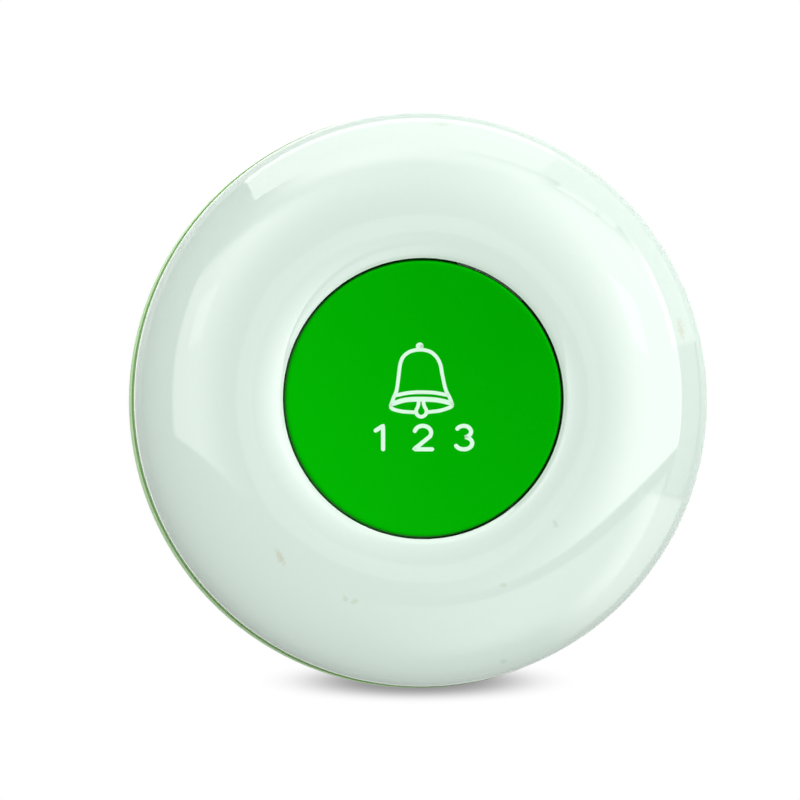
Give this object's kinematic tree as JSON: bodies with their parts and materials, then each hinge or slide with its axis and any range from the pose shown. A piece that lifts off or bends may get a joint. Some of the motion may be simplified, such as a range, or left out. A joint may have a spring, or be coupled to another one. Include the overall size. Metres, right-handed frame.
{
  "type": "wireless table call button",
  "caption": "Round domed housing on a twist-lock base plate, with a large dished push button over a tact switch, a transmitter board and a battery.",
  "frame": {"origin": "centre of the underside, on the adhesive pad's face that meets the table or wall", "axes": "+Z out of the button's face, the way a finger comes from; +Y towards the top edge of the face; +X towards its right edge"},
  "size_m": [0.06, 0.06, 0.018],
  "materials": {
    "shell": "gloss",
    "lower_green": "gloss",
    "button": "satin",
    "base": "satin",
    "foam": "matte",
    "screw_steel": "brushed",
    "board": "satin",
    "copper_track": "satin",
    "chip_black": "matte",
    "tinned": "satin",
    "nickel": "satin",
    "coil_copper": "gloss",
    "resistor_black": "satin",
    "capacitor_tan": "satin",
    "solder": "satin",
    "switch_black": "satin",
    "spring_steel": "satin",
    "sleeve": "gloss"
  },
  "bodies": {
    "base": {"base_plate": "base", "adhesive_pad": "foam"},
    "housing": {"rear_shell": "lower_green", "top_cover": "shell", "housing_screws": "screw_steel", "circuit_board": "board", "antenna_track": "copper_track", "encoder_chip": "chip_black", "encoder_leads": "tinned", "rf_transistor": "chip_black", "saw_resonator": "nickel", "tuning_coil": "coil_copper", "chip_resistors": "resistor_black", "chip_capacitors": "capacitor_tan", "solder_joints": "solder", "switch_base": "switch_black", "switch_cover": "nickel", "switch_terminals": "tinned", "battery_cell": "nickel", "battery_sleeve": "sleeve", "battery_plate": "nickel", "battery_spring": "spring_steel", "spring_bracket": "nickel"},
    "button": {"call_button": "button", "return_spring": "spring_steel"},
    "plunger": {"switch_plunger": "switch_black", "switch_dome": "spring_steel"}
  },
  "joints": [
    {"name": "base_twist", "type": "hinge", "parent": "base", "child": "housing", "pos_m": [0, 0, 0.0018], "axis": [0, 0, 1], "range_deg": [0, 26]},
    {"name": "button_press", "type": "slide", "parent": "housing", "child": "button", "axis": [0, 0, -1], "range_m": [0, 0.0008], "stiffness_N_per_m": 600, "springref_m": -0.003, "deforming": ["return_spring"]},
    {"name": "plunger_press", "type": "slide", "parent": "housing", "child": "plunger", "axis": [0, 0, -1], "range_m": [0, 0.0003], "deforming": ["switch_dome"]}
  ],
  "couplings": [
    {"joint": "plunger_press", "follows": "button_press", "ratio": 0.35}
  ]
}
